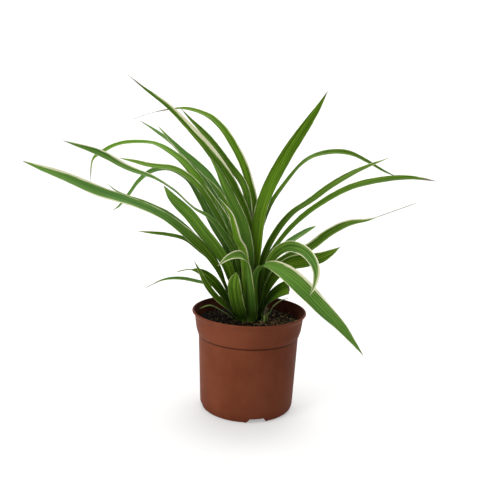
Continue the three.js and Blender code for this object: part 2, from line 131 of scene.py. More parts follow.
# Shape of a leaf, as in the model: ring and at, a bearing, place its foot on the crown. heading is
# the bearing of its first and last route point, seen from the foot, and face the bearing that the
# blade turns to above its base. Width in mm, point the power of its taper, tail the share of its
# length that is a whisker, roll in degrees from base to tip, route in mm: distance out and height.
# Looks of a leaf, from base to tip: tone from dark to bright green, partly its own green and partly
# painted light and shade, blue a grey-blue tint, partly its own and partly a painted sheen of the sky,
# plus and minus the cream along its two margins in mm, MARGIN where none is given. stripe is a light
# middle, dry the share of its tip gone tan, scar the place of a brown mark, which NO_SCAR puts off the tip.
LEAVES = (
    dict(name="leaf_tall_left", ring=2, at=100, heading=(177, 174), face=90, width=12, point=1.8,
         roll=(0, 0, 0, -20, -20), route=((-2, 146), (0, 167), (2, 188), (7, 206), (23, 239), (44, 269),
         (66, 292), (89, 313), (114, 330), (132, 343)), tone=(0.1, 0.1, 0.3, 0.3), blue=(0, 0, 0.1, 0.2),
         dry=0.05, plus=0.2, minus=(0.2, 0.2, 0.2, 0.3, 0.4, 0.8, 3.2, 4.6, 2.2, 0.6, 0.2)),
    dict(name="leaf_tall_right", ring=2, at=336, heading=(30, 28), face=78, width=14.5, point=3.5,
         roll=(0, 0, 0, -15, -12, 10, 20, 20, 20), route=((2, 156), (3, 184), (8, 215), (18, 239),
         (38, 272), (61, 303), (73, 320), (82, 335)), tone=(0.4, 0.6, 0.6), dry=0.02, plus=(0.1, 0.15),
         minus=(0.1, 0.3)),
    dict(name="leaf_tall_slender", ring=4, at=105, heading=(160, 155), face=90, width=8, point=4,
         roll=(0, -10, -15, -10), route=((0, 193), (7, 233), (26, 256), (48, 280), (73, 301), (86, 312)),
         tone=0.4, blue=0.15, minus=(0.2, 0.3)),
    dict(name="leaf_right_arch_back", ring=3, at=8, heading=(39, 39), face=60, width=9, point=5,
         roll=(0, -5, -10, -20, -25, 25, 55, 60, 60), route=((3, 155), (5, 184), (16, 212), (38, 237),
         (59, 256), (74, 264), (104, 270), (137, 269), (170, 259), (200, 248), (228, 240)), tone=0.4,
         minus=(0.2, 0.3, 0.3)),
    dict(name="leaf_centre_short", ring=3, at=190, heading=(182, 180), face=235, width=9, point=3.5,
         roll=(0, -10, -20, -20), route=((3, 175), (12, 199), (26, 224), (36, 236), (49, 247)), tone=0.3),
    dict(name="leaf_centre_dark", ring=4, at=246, heading=(200, 200), face=270, width=12, point=3.5,
         route=((-1, 164), (6, 194), (19, 221), (27, 236), (34, 250), (44, 264)), tone=0.35, blue=0.3,
         plus=(0.1, 0.5, 0.5, 0.2, 0.1), minus=0.1),
    dict(name="leaf_centre_pale", ring=4, at=188, heading=(176, 172), face=230, width=7, point=4,
         roll=(0, -20, -30), route=((6, 173), (16, 197), (27, 214), (38, 228), (46, 237)), tone=0.7,
         scar=0.37, plus=(0.3, 0.9, 0.8)),
    dict(name="leaf_right_long_upper", ring=4, at=32, heading=(25, 25), width=11, point=4,
         roll=(0, 15, 12, 22, 20), route=((7, 140), (11, 162), (24, 186), (41, 205), (63, 218), (88, 234),
         (113, 247), (138, 257), (165, 266)), tone=0.25, plus=(0.2, 0.4), minus=(0.2, 0.6, 0.5)),
    dict(name="leaf_back_twisted", ring=7, at=118, heading=(148, 148), width=9, point=3.5,
         roll=(0, -40, -55, -60, -50), route=((13, 181), (24, 209), (37, 227), (52, 243), (69, 255),
         (85, 265), (102, 277), (122, 293)), tone=0.5, blue=0.7, plus=(0.1, 0.2, 0.4),
         minus=(0.1, 0.3, 0.5)),
    dict(name="leaf_left_hooked", ring=6, at=133, heading=(160, 148), width=12, point=5.5,
         roll=(0, -30, -55, -40, -15, -8, -28, -55, -70), route=((10, 160), (30, 196), (51, 230),
         (74, 254), (94, 266), (114, 273), (136, 274), (167, 271), (195, 261), (216, 250), (225, 222)),
         tone=1, blue=(0.2, 0.2, 0.2, 0), dry=0.04, plus=(0.1, 0.2, 0.4), minus=(0.1, 0.3, 0.6)),
    dict(name="leaf_right_long_middle", ring=5, at=339, heading=(8, -8), width=11, point=5,
         roll=(0, 25, 33, 38), route=((6, 137), (10, 158), (18, 172), (38, 198), (62, 219), (91, 237),
         (120, 246), (149, 250), (174, 248)), tone=0.3, dry=0.05, plus=(0.2, 0.4, 0.3),
         minus=(0.2, 0.3, 0.3)),
    dict(name="leaf_back_long_arch", ring=7, at=85, heading=(140, 140), face=90, width=9.5, point=3.5,
         tail=0.09, roll=(0, 0, 10, 8, -32, -55), route=((-3, 158), (-2, 212), (4, 233), (16, 258),
         (29, 275), (44, 291), (58, 301), (72, 307), (103, 313), (136, 311), (162, 307), (196, 299)),
         tone=(0.4, 0.6, 0.8, 0.6, 0.3), dry=0.2, plus=(0.1, 0.3, 0.3), minus=(0.6, 1.6, 1.3, 0.4, 0.1)),
    dict(name="leaf_centre_bright", ring=6, at=268, heading=(222, 208), face=262, width=9,
         route=((10, 171), (17, 182), (25, 207), (33, 218), (40, 227)), tone=0.95, plus=(0.5, 1.3, 1),
         minus=(0.1, 0.3)),
    dict(name="leaf_left_straight", ring=6, at=176, heading=(176, 172), width=8.5, point=8,
         roll=(0, -35, -40), route=((14, 178), (31, 210), (51, 236), (72, 249), (99, 252), (120, 256),
         (133, 258)), tone=0.6, blue=0.2, minus=(0.1, 0.2, 0.5, 0.9)),
    dict(name="leaf_left_upper", ring=6, at=226, heading=(196, 196), width=11, point=5,
         roll=(0, -30, -50, -40, -8, -4, -30, -60, -60), route=((7, 157), (21, 183), (37, 202), (54, 213),
         (73, 230), (93, 242), (118, 251), (145, 265), (179, 276)), tone=0.35, blue=(0.1, 0.3, 0.5, 0.5),
         plus=(0.2, 0.3, 0.4), minus=(0.2, 0.2, 0.2, 0.2, 0.3, 0.4, 0.6, 0.9, 1.9, 0.8, 0.2)),
    dict(name="leaf_right_hanging", ring=6, at=320, heading=(331, 306), width=12.5, point=3.2,
         roll=(0, 15, 45, 85, 85, 62, 52, 47, 45), route=((8, 117), (12, 148), (22, 168), (37, 178),
         (53, 179), (69, 174), (81, 163), (83, 148), (82, 139)), tone=(0.05, 0.05, 0.05, 0.15, 0.1),
         blue=(0, 0, 0.1, 0.5, 0.6), plus=(0.1, 0.2, 0.4, 0.5, 0.6, 1, 2, 1.2),
         minus=(0.1, 0.2, 0.5, 0.8, 0.9, 0.9, 1)),
    dict(name="leaf_right_short_back", ring=7, at=51, heading=(42, 44), width=10, point=6, roll=(0, 5, 20),
         route=((10, 133), (24, 154), (50, 170), (78, 180), (97, 185)), tone=0.2, blue=0.55, plus=0.3,
         minus=0.3),
    dict(name="leaf_left_broad", ring=7, at=214, heading=(186, 180), width=13, point=6.5,
         roll=(0, -55, -75, -75), route=((14, 150), (26, 169), (41, 187), (55, 204), (72, 220), (82, 233)),
         tone=(0.3, 0.6, 1, 1), blue=(0, 0, 0.35, 0.5), plus=0.2, minus=(0.2, 0.3)),
    dict(name="leaf_back_left", ring=8, at=125, heading=(140, 140), width=9, point=5, roll=(0, -20, -10),
         route=((28, 200), (75, 246), (105, 270), (138, 286), (170, 299)), tone=0.4, blue=0.6, dry=0.04,
         plus=(0.1, 0.3), minus=(0.1, 0.3)),
    dict(name="leaf_left_arched", ring=8, at=171, heading=(174, 166), width=11.5, point=6,
         roll=(0, -43, -28, -50), route=((12, 167), (27, 192), (42, 220), (56, 240), (76, 249), (97, 245),
         (112, 233), (123, 219), (136, 205), (144, 200)), tone=0.3, blue=0.6),
    dict(name="leaf_back_centre", ring=8, at=89, heading=(88, 96), width=13, route=((4, 122), (21, 158),
         (53, 186), (99, 186), (137, 166)), tone=0.5, plus=(0.2, 0.5), minus=(0.2, 0.5)),
    dict(name="leaf_left_low", ring=8, at=199, heading=(184, 178), width=7, point=6,
         roll=(0, -20, -26, -30), route=((11, 125), (26, 153), (42, 167), (57, 178), (75, 182), (90, 183),
         (107, 184)), tone=(0.05, 0.15, 0.3), minus=(0.2, 0.4)),
    dict(name="leaf_right_broad", ring=8, at=331, heading=(350, 354), width=16, point=4,
         roll=(0, 30, 65, 70), route=((4, 110), (9, 128), (19, 147), (31, 157), (46, 161), (62, 165),
         (74, 172), (81, 177)), tone=0.3, plus=(0.4, 0.8, 0.9, 0.3), minus=0.3),
    dict(name="leaf_right_long_low", ring=8, at=16, heading=(12, 13), width=13.5, point=3, tail=0.2,
         roll=(0, 20, 28, 30, 10), route=((4, 124), (12, 146), (32, 161), (53, 170), (73, 185), (95, 196),
         (118, 200), (137, 206), (175, 219)), tone=0.3, dry=0.19, plus=(0.4, 0.9, 1.6, 1.4, 0.6),
         minus=0.3),
    dict(name="leaf_front_right_large", ring=9, at=288, heading=(300, 326), width=19.5, point=2.2,
         roll=(0, 5, 15, 6, 30, 52, 55, 52, 50), route=((3, 98), (4, 119), (4, 135), (7, 150), (18, 159),
         (42, 156), (69, 142), (87, 128), (107, 112), (117, 99), (125, 87)),
         tone=(0.2, 0.3, 0.5, 0.2, 0.3), blue=(0.1, 0.2, 0.4, 0.5, 0.6), stripe=0.2,
         plus=(0.4, 0.7, 1.2, 2.2, 2.6, 2.4, 1.2, 0.4, 0.2), minus=(0.3, 0.3, 0.3, 0.5, 0.5, 0.3, 0.3)),
    dict(name="leaf_left_behind", ring=9, at=150, heading=(172, 176), width=9, point=5, roll=(0, -10, -15),
         route=((25, 145), (45, 175), (73, 199), (102, 212), (124, 219), (134, 224), (142, 231)), tone=0.4,
         blue=0.3, plus=(0.1, 0.4), minus=(0.1, 0.5)),
    dict(name="leaf_left_longest", ring=9, at=219, heading=(198, 193), width=13, point=6,
         roll=(0, -25, -50, -55, -35, -35, -55, -52, -50), route=((12, 122), (23, 149), (38, 170),
         (59, 189), (81, 205), (108, 217), (141, 228), (173, 242), (201, 252), (212, 256)),
         tone=(0.02, 0.05, 0.1, 0.6, 1, 0.9, 0.7), blue=(0, 0, 0.05, 0.6, 1, 0.8, 0.5),
         plus=(0.2, 0.2, 0.2, 0.2, 0.3, 0.7, 2.4, 2, 0.5, 0.3, 0.2),
         minus=(0.2, 0.2, 0.2, 0.2, 0.8, 0.4, 0.4, 0.7, 1.7, 2.2, 0.5)),
    dict(name="leaf_low_dark", ring=10, at=179, heading=(186, 180), width=11.5, point=3, tail=0.15,
         roll=(0, -50, -60), route=((3, 105), (15, 123), (26, 136), (39, 144), (50, 145), (62, 142)),
         tone=0.1, minus=(0.2, 0.5)),
    dict(name="leaf_back_low_left", ring=10, at=110, heading=(112, 108), width=12, route=((9, 118),
         (29, 148), (62, 166), (105, 160)), tone=0.45, plus=(0.6, 0.9), minus=(0.6, 0.8)),
    dict(name="leaf_back_low_right", ring=10, at=58, heading=(66, 64), width=12, route=((8, 112),
         (25, 142), (53, 158), (87, 148)), tone=0.5, plus=(0.6, 0.8), minus=(0.5, 0.9)),
    dict(name="leaf_low_whip", ring=10, at=144, heading=(166, 165), width=6.5, point=3, tail=0.05,
         roll=(0, -20, -40), route=((6, 105), (17, 118), (29, 125), (43, 127), (63, 129), (84, 126),
         (107, 114)), tone=0.2, blue=0.4, dry=0.12, plus=(0.4, 0.6), minus=0.3),
    dict(name="leaf_front_short", ring=10, at=250, heading=(240, 236), face=250, width=16, point=6,
         route=((8, 105), (14, 116), (18, 128), (20, 139), (16, 150)), tone=0.15,
         plus=(0.1, 0.3, 0.6, 0.6), minus=(0.1, 0.3, 0.6, 0.6)),
    dict(name="leaf_soil_pale", ring=11, at=201, heading=(198, 190), width=5.5, route=((4, 97), (12, 103),
         (25, 110), (31, 109), (37, 106)), tone=0.8, blue=0.3, plus=(0.7, 0.8), minus=(0.5, 0.6)),
    dict(name="leaf_front_left_spear", ring=11, at=220, heading=(219, 211), width=10, roll=(0, -50, -70),
         route=((12, 109), (28, 124), (39, 138), (46, 152), (51, 162)), tone=0.35, plus=(0.4, 1.2, 0.8),
         minus=(0.1, 0.3)),
    dict(name="leaf_front_folded", ring=11, at=282, heading=(262, 226), width=12, point=3,
         roll=(0, 0, 0, -10, -20, -35, -65, -45, -30), route=((5, 107), (9, 122), (13, 143), (17, 163),
         (26, 170), (41, 169), (51, 161)), tone=0.3, blue=0.3,
         plus=(0.1, 0.1, 0.1, 0.2, 0.8, 1, 1.1, 1, 0.8), minus=(0.1, 0.1, 0.1, 0.3, 0.7, 1, 1.1, 1, 0.8)),
    dict(name="leaf_sheath_old", ring=11, at=318, heading=(320, 320), width=7, route=((8, 95), (8, 106),
         (9, 114)), tone=0.7, dry=0.3, plus=2, minus=1.5),
    dict(name="leaf_cut_stub", ring=11, at=348, heading=(337, 335), width=17.5, cut=True, roll=(0, 30, 55),
         route=((-1, 103), (7, 118), (17, 127), (27, 133)), tone=0.7, plus=0.3, minus=0.3),
    dict(name="leaf_right_small_pale", ring=11, at=12, heading=(352, 352), width=5, route=((7, 99),
         (11, 107), (20, 115), (28, 118)), tone=0.8, blue=0.4, dry=0.15, plus=(0.9, 0.8), minus=0.6),
)


# Node trees


def operator(operation, turned=False):
    """A method that puts a maths node on values, in turned order where the socket stands last."""
    def apply(*values):
        return values[0].board.maths(operation, *(reversed(values) if turned else values))
    return apply


class Value:
    """An output socket that takes part in arithmetic."""

    def __init__(self, board, socket):
        self.board = board
        self.socket = socket

    def __getitem__(self, name):
        return Value(self.board, self.socket.node.outputs[name])

    __add__ = operator("ADD")
    __radd__ = operator("ADD", turned=True)
    __sub__ = operator("SUBTRACT")
    __rsub__ = operator("SUBTRACT", turned=True)
    __mul__ = operator("MULTIPLY")
    __rmul__ = operator("MULTIPLY", turned=True)
    __truediv__ = operator("DIVIDE")
    __pow__ = operator("POWER")
    __abs__ = operator("ABSOLUTE")


class Board:
    """A node tree under construction."""

    def __init__(self, tree):
        self.tree = tree

    def node(self, kind, inputs=None, **settings):
        """Adds a node, sets its settings first and then its inputs, and returns its first output."""
        made = self.tree.nodes.new(kind)
        for name, setting in settings.items():
            setattr(made, name, setting)
        for name, value in (inputs or {}).items():
            socket = made.inputs[name]
            if isinstance(value, Value):
                self.tree.links.new(value.socket, socket)
            else:
                socket.default_value = value
        shown = [socket for socket in made.outputs if socket.enabled]
        return Value(self, shown[0]) if shown else None

    def mix(self, share, a, b):
        return self.node("ShaderNodeMix", {0: share, 6: a, 7: b}, data_type="RGBA")

    def blend(self, share, one, other):
        """A mix of two colours, each written as six hex digits."""
        return self.mix(share, colour(one), colour(other))

    def coated(self, under, *coats):
        """A colour with others laid over it in turn, each a share and six hex digits."""
        for share, over in coats:
            under = self.mix(share, under, colour(over))
        return under

    def rise(self, value, low, high):
        """A smooth step up from 0 at the low value to 1 at the high one."""
        inputs = {0: value, 1: low, 2: high}
        return self.node("ShaderNodeMapRange", inputs, interpolation_type="SMOOTHSTEP")

    def fall(self, value, low, high):
        """A smooth step down from 1 at the low value to 0 at the high one."""
        return 1 - self.rise(value, low, high)

    def maths(self, operation, *values):
        return self.node("ShaderNodeMath", dict(enumerate(values)), operation=operation)

    def vector(self, operation, *values):
        return self.node("ShaderNodeVectorMath", dict(enumerate(values)), operation=operation)

    def scaled(self, vector, by):
        return self.node("ShaderNodeVectorMath", {0: vector, "Scale": by}, operation="SCALE")

    def joined(self, x, y, z):
        return self.node("ShaderNodeCombineXYZ", {0: x, 1: y, 2: z})

    def parted(self, vector):
        return self.node("ShaderNodeSeparateXYZ", {0: vector})

    def place(self):
        """Where on the object, in metres."""
        return self.node("ShaderNodeTexCoord")["Object"]

    def carried(self, name):
        """A value that the mesh carries."""
        return self.node("ShaderNodeAttribute", attribute_name=name)["Fac"]

    def noise(self, vector, scale, detail, rough):
        inputs = {"Vector": vector, "Scale": scale, "Detail": detail, "Roughness": rough}
        return self.node("ShaderNodeTexNoise", inputs)

    def bump(self, height, strength, distance):
        inputs = {"Height": height, "Strength": strength, "Distance": distance}
        return self.node("ShaderNodeBump", inputs)

    def surface(self, inputs):
        """Ends a material in a shader with these inputs."""
        shader = self.node("ShaderNodeBsdfPrincipled", inputs)
        self.node("ShaderNodeOutputMaterial", {"Surface": shader})


def colour(text):
    """A colour written as six hex digits, as the linear values that sockets take."""
    parts = [int(text[k:k + 2], 16) / 255 for k in (0, 2, 4)]
    linear = [c / 12.92 if c <= 0.04045 else ((c + 0.055) / 1.055) ** 2.4 for c in parts]
    return (*linear, 1.0)


# Materials


def material(name):
    """An empty material and the board for its nodes."""
    made = bpy.data.materials.new(name)
    made.use_nodes = True
    made.node_tree.nodes.clear()
    return made, Board(made.node_tree)


def pot_plastic():
    made, board = material("nursery pot plastic")
    place = board.place()
    spread = board.parted(place)
    up = spread["Z"]
    across = board.joined(spread["X"], spread["Y"], up * 0.25)
    clouds = board.noise(place, 22, 4, 0.6)
    streaks = board.noise(across, 160, 3, 0.5)
    grain = board.noise(place, 1900, 2, 0.5)
    # The middle of the wall is a steep cone up the collar and a flatter one at the lip.
    reach = board.vector("LENGTH", board.joined(spread["X"], spread["Y"], 0))["Value"]
    lip = board.maths("MINIMUM", up, 0.1035) * 0.62 - 0.00535
    middle = board.maths("MAXIMUM", lip, up * 0.132 + 0.0434)
    inside = board.fall(reach - middle, -0.0003, 0.0003)
    # Painted shade: the inside of the wall above the compost and the top of the lip are darkened.
    inner = board.rise(up, 0.088, 0.09) * inside
    shade_blotches = board.rise(board.noise(place, 95, 5, 0.65), 0.4, 0.7)
    # A painted shadow line under the collar's shoulder step.
    shoulder_shadow = board.rise(up, 0.0776, 0.0787) * board.fall(up, 0.0795, 0.0802)
    scuffs = board.noise(board.joined(spread["X"] * 3, spread["Y"] * 3, up * 0.6), 120, 6, 0.7)
    worn = board.rise(scuffs, 0.62, 0.72)
    body = board.coated(
        board.blend(board.rise(clouds, 0.35, 0.68), "6c3723", "77402b"),
        (board.rise(streaks, 0.5, 0.75) * 0.25, "7b452c"),
        # painted shade: the right side darker, away from the key light
        (board.rise(spread["X"], -0.045, 0.045) * 0.45, "431e0d"),
        # painted shade: darker towards the foot, near the floor
        (board.fall(up, 0.0, 0.012) * 0.4, "4f1d0e"),
        # painted shade on the inner wall and the lip's top, deeper in blotches
        (inner * 0.75, "35140a"),
        (inner * 0.6 * shade_blotches, "1d0e08"),
        # painted shadow under the shoulder
        (shoulder_shadow * 0.75, "200c05"),
        (worn * 0.16, "8f5c45"))
    board.surface({
        "Base Color": body, "Roughness": 0.44 + 0.14 * clouds + 0.12 * worn,
        "IOR": 1.35, "Specular IOR Level": 0.06,
        "Normal": board.bump(grain * 0.5 + streaks * 0.35, 0.22, 0.0004),
    })
    return made


def left_shade(board, place):
    """The share of painted shade in the earth, which is darker towards the left, in the shade of the
    leaves.
    """
    return board.fall(board.parted(place)["X"], -0.025, 0.015)


def compost():
    made, board = material("compost")
    place = board.place()
    coarse = board.noise(place, 120, 6, 0.7)
    fine = board.noise(place, 900, 5, 0.7)
    cells = board.node("ShaderNodeTexVoronoi", {"Vector": place, "Scale": 420})
    moss = board.rise(board.noise(place, 60, 4, 0.6), 0.58, 0.72)
    earth = board.coated(
        board.blend(board.rise(coarse, 0.35, 0.65), "0b0705", "1c120b"),
        (board.rise(fine, 0.52, 0.7) * 0.5, "37271a"),
        (moss * 0.15, "26220f"),
        # painted shade, darker towards the left
        (left_shade(board, place) * 0.55, "060403"))
    height = coarse * 0.6 + fine * 0.5 + cells * 0.4
    board.surface({
        "Base Color": earth, "Roughness": 0.85 + 0.12 * fine, "Specular IOR Level": 0.12,
        "Normal": board.bump(height, 0.9, 0.0012),
    })
    return made


def crumb_bits(name, dark, light, few):
    """Loose bits, each in a shade of its own from dark to light, and a few in another colour."""
    made, board = material(name)
    place = board.place()
    shade = board.carried("shade")
    fine = board.noise(place, 1300, 4, 0.65)
    earth = board.coated(
        board.blend(board.rise(shade, 0.1, 0.8), dark, light),
        (board.rise(shade, 0.86, 0.93), few),
        (board.rise(fine, 0.45, 0.7) * 0.4, light),
        # painted shade, darker towards the left
        (left_shade(board, place) * 0.6, "080604"))
    board.surface({
        "Base Color": earth, "Roughness": 0.82 + 0.15 * fine, "Specular IOR Level": 0.12,
        "Normal": board.bump(fine, 0.7, 0.0005),
    })
    return made


def crown_flesh():
    made, board = material("crown flesh")
    place = board.place()
    rings = board.noise(board.joined(0, 0, board.parted(place)["Z"]), 900, 3, 0.6)
    spots = board.noise(place, 260, 5, 0.65)
    flesh = board.coated(
        board.blend(board.rise(rings, 0.4, 0.62), "8f8e55", "b3ad7c"),
        (board.rise(spots, 0.48, 0.64) * 0.7, "4b3a22"))
    board.surface({
        "Base Color": flesh, "Roughness": 0.6 + 0.2 * spots,
        "Normal": board.bump(rings + spots, 0.5, 0.0006),
    })
    return made


def leaf_skin():
    """Green blade with cream margins. The pattern follows the values that each blade carries."""
    made, board = material("variegated leaf")
    across, run, share, half, upper, odd = (
        board.carried(name) for name in ("across", "along", "share", "half", "upper", "odd"))
    tone, blue, stripe, dry, scar, plus, minus = (
        board.carried(name) for name in ("tone", "blue", "stripe", "dry", "scar", "plus", "minus"))
    sideways = across * half
    streaks = board.noise(board.joined(sideways * 1000, run * 26, odd * 7), 2.3, 3, 0.6)
    threads = board.noise(board.joined(sideways * 1000, run * 9, odd * 3), 5.5, 2, 0.5)
    patches = board.noise(board.joined(sideways * 60, run * 22, odd), 1.4, 3, 0.55)
    bands = board.noise(board.joined(sideways * 800, run * 7, odd * 5), 1.0, 3, 0.6)

    dark = board.blend(patches, "203a05", "2c4b0a")
    bright = board.blend(patches, "4d740f", "618a1a")
    green = board.coated(
        # tone: partly the leaf's own green, partly painted light and shade
        board.mix(tone, dark, bright),
        (board.rise(bands, 0.5, 0.62) * 0.55, "7a9c2c"),
        (board.fall(bands, 0.36, 0.48) * 0.55, "1a3204"),
        (board.rise(streaks, 0.42, 0.72) * 0.45, "668a18"),
        (board.fall(threads, 0.32, 0.55) * 0.45, "142b03"))
    # A grey-blue tint, partly the leaf's own and partly a painted sheen where the blade catches the sky.
    tint_and_sheen = board.coated(
        board.blend(patches, "3f6a34", "618f4c"),
        (board.rise(bands, 0.5, 0.62) * 0.5, "82a263"))
    middle = board.fall(abs(across), 0.12, 0.42)
    keel = board.fall(abs(sideways), 0.0002, 0.0006)
    # Painted shade at the foot of each blade, where the bases crowd together.
    base = board.fall(run, 0.02, 0.075)
    under = 1 - upper
    green = board.coated(
        board.mix(blue * 0.75, green, tint_and_sheen),
        (stripe * middle * 0.8, "568c1e"),
        (under * 0.2, "547628"),
        (keel * 0.2, "74962c"),
        # painted shade at the base
        (base * 0.55, "1d3805"))

    edge = half - abs(sideways)
    wide = board.node("ShaderNodeMix", {0: board.rise(across, -0.02, 0.02), 2: minus, 3: plus})
    ragged = (board.noise(board.joined(odd * 5, run * 60, across), 1.0, 4, 0.6) - 0.5) * 0.0022
    rim = board.fall(edge + ragged - wide, -0.0003, 0.0003)
    feather = board.fall(edge + ragged * 2 - wide * 1.4, -0.0004, 0.0005)
    tan = board.rise(board.noise(board.joined(odd * 9, run * 30, 0), 1.0, 2, 0.5), 0.5, 0.7)
    old = dry * 3 * board.rise(share, 0.35, 0.75)
    cream = board.coated(
        board.blend(board.rise(streaks, 0.35, 0.7), "c0c19a", "dedcc0"),
        (tan * (0.04 + old), "b0987a"),
        (board.fall(run, 0.04, 0.13), "95a063"))
    paint = board.mix(rim, board.coated(green, (feather * 0.3, "8fa557")), cream)
    gone = board.rise(share + ragged * 20, 1.0 - dry - 0.02, 1.0 - dry + 0.01)
    straw = board.blend(patches, "4c4834", "736a4d")
    mark = board.fall(abs(share - scar), 0.006, 0.02) * board.rise(patches, 0.25, 0.5)
    paint = board.coated(board.mix(gone, paint, straw), (mark * 0.85, "3f2a17"))

    ribs = board.maths("SINE", sideways * 6800)
    height = ribs * 0.35 + streaks * 0.5 + threads * 0.4
    rough = 0.44 + 0.16 * streaks + 0.12 * under + 0.2 * gone
    board.surface({
        "Base Color": paint, "Roughness": rough, "IOR": 1.3, "Specular IOR Level": 0.1,
        "Normal": board.bump(height, 0.35, 0.0003),
    })
    return made


def studio_white():
    made, board = material("studio floor")
    soft = board.noise(board.place(), 3, 2, 0.5)
    white = board.blend(soft, "bebebd", "c2c2c1")
    board.surface({
        "Base Color": white, "Roughness": 0.9, "Specular IOR Level": 0.1,
        "Emission Color": white, "Emission Strength": 0.7,
    })
    return made


# Meshes


def object_from(name, data, *materials):
    made = bpy.data.objects.new(name, data)
    bpy.context.scene.collection.objects.link(made)
    for one in materials:
        data.materials.append(one)
    return made


def mesh_from(name, vertices, faces):
    mesh = bpy.data.meshes.new(name)
    mesh.from_pydata([tuple(v) for v in vertices], [], faces)
    return mesh


def shaded_smooth(mesh, angle=None):
    mesh.polygons.foreach_set("use_smooth", [True] * len(mesh.polygons))
    if angle is not None:
        mesh.set_sharp_from_angle(angle=radians(angle))
    mesh.update()


def settled(made, keep_name):
    """The object's evaluated shape as a plain mesh object; the modifiers and the source go."""
    bpy.context.view_layer.update()
    ready = made.evaluated_get(bpy.context.evaluated_depsgraph_get())
    mesh = bpy.data.meshes.new_from_object(ready)
    bpy.data.objects.remove(made)
    mesh.name = keep_name
    return object_from(keep_name, mesh)


def turned(profile, sides):
    """A closed solid of revolution from pairs of radius and height in mm, listed from the foot's
    centre up the outside and down the inside."""
    vertices = []
    rows = []
    for r, z in profile:
        if r < 1e-6:
            rows.append([len(vertices)] * sides)
            vertices.append((0, 0, z * MM))
            continue
        rows.append(list(range(len(vertices), len(vertices) + sides)))
        for k in range(sides):
            turn = 2 * pi * k / sides
            vertices.append((r * MM * cos(turn), r * MM * sin(turn), z * MM))
    faces = []
    for low, high in zip(rows, rows[1:]):
        for k in range(sides):
            n = (k + 1) % sides
            corners = [low[k], low[n], high[n], high[k]]
            face = [c for i, c in enumerate(corners) if c not in corners[:i]]
            if len(face) > 2:
                faces.append(face)
    return vertices, faces


def rounded(points, cut, steps=4):
    """The same outline with each corner but the first and last cut to a short curve."""
    result = [points[0]]
    for before, here, after in zip(points, points[1:], points[2:]):
        before, here, after = (Vector(p) for p in (before, here, after))
        back = min(cut, (before - here).length * 0.45)
        on = min(cut, (after - here).length * 0.45)
        start = here + (before - here).normalized() * back
        end = here + (after - here).normalized() * on
        for k in range(steps + 1):
            t = k / steps
            result.append(tuple(start * (1 - t) ** 2 + here * 2 * t * (1 - t) + end * t ** 2))
    result.append(points[-1])
    return result


def smooth(t):
    t = min(1.0, max(0.0, t))
    return t * t * (3 - 2 * t)


def wall_radius(z):
    """Outer radius of the pot's wall at a height, in mm."""
    points = [BODY_FOOT, BODY_TOP, STEP, COLLAR_FOOT, COLLAR_TOP]
    for a, b in zip(points, points[1:]):
        if z <= b[1]:
            break
    return a[0] + (b[0] - a[0]) * (z - a[1]) / (b[1] - a[1])


# Pot


def bead():
    """Points on the rolled lip."""
    r, out, up, low, high, count = BEAD.values()
    turns = [radians(low + (high - low) * k / (count - 1)) for k in range(count)]
    return [(out + r * cos(t), up + r * sin(t)) for t in turns]


def drain_wedge(wide, narrow, high, near, far, spin):
    """The corners of a trapezoid prism along a radius, with its wide side down."""
    ends = [(-wide / 2, 0), (wide / 2, 0), (narrow / 2, high), (-narrow / 2, high)]
    return [spin @ Vector((x * MM, y * MM, z * MM)) for x in (near, far) for y, z in ends]


def drain_slot(middle, height, half_height, spin):
    """The corners of the box that cuts the slot above a recess."""
    out, aside = DRAIN_HOLE["wide"] / 2, DRAIN_HOLE["long"] / 2
    corners = [(middle + a * out, b * aside, height + c * half_height)
               for c in (-1, 1) for a, b in ((-1, -1), (1, -1), (1, 1), (-1, 1))]
    return [spin @ (Vector(corner) * MM) for corner in corners]


def pot(plastic):
    outside = rounded([
        (0, 0), (FOOT_R, 0), *FOOT_EDGE, BODY_FOOT, BODY_TOP, UNDER_STEP, STEP, COLLAR_FOOT,
        COLLAR_TOP, LIP_FOOT], cut=1.4)
    wall = [(r - WALL, z) for r, z in (COLLAR_TOP, COLLAR_FOOT, STEP, BODY_TOP, BODY_FOOT)]
    inside = rounded([*wall, (FOOT_R - WALL, FLOOR), (0, FLOOR)], cut=1.2)
    vertices, faces = turned([*outside, *bead(), *inside], POT_SIDES)
    shell = object_from("pot_shell", mesh_from("pot_shell", vertices, faces))
    wide, narrow, high, deep, skin = DRAIN.values()
    inner = BODY_FOOT[0] - deep
    # The cutting boxes start a hair below the underside, so that no skin is left there.
    below = Vector((0, 0, 0.01 * MM))
    hoods, clear = [], []
    for k in range(DRAIN_COUNT):
        spin = Matrix.Rotation(radians(DRAIN_FIRST + k * 360 / DRAIN_COUNT), 3, "Z")
        hoods.append(drain_wedge(wide + 2 * skin, narrow + 2 * skin, high + skin, inner, HOOD_OUT, spin))
        clear.append([p - below for p in drain_wedge(wide, narrow, high, inner + skin, CUT_OUT, spin)])
        clear.append(drain_slot(BODY_FOOT[0] - deep / 2, high + skin, 2 * skin, spin))
    tools = []
    for operation, pieces in (("UNION", hoods), ("DIFFERENCE", clear)):
        vertices = [corner for piece in pieces for corner in piece]
        faces = [tuple(k + 8 * n for k in face) for n in range(len(pieces)) for face in BOX_FACES]
        tool = object_from("drain_tool", mesh_from("drain_tool", vertices, faces))
        tools.append(tool)
        change = shell.modifiers.new(operation.lower(), "BOOLEAN")
        change.operation = operation
        change.object = tool
        change.solver = "EXACT"
        change.use_self = True
    made = settled(shell, "pot_shell_moulded")
    for tool in tools:
        bpy.data.objects.remove(tool)
    made.data.materials.clear()
    made.data.materials.append(plastic)
    shaded_smooth(made.data, angle=38)
    return made


# Compost and crown


def bed_radius(z):
    """Radius of the compost at a height, in mm."""
    return wall_radius(z) - WALL - GAP


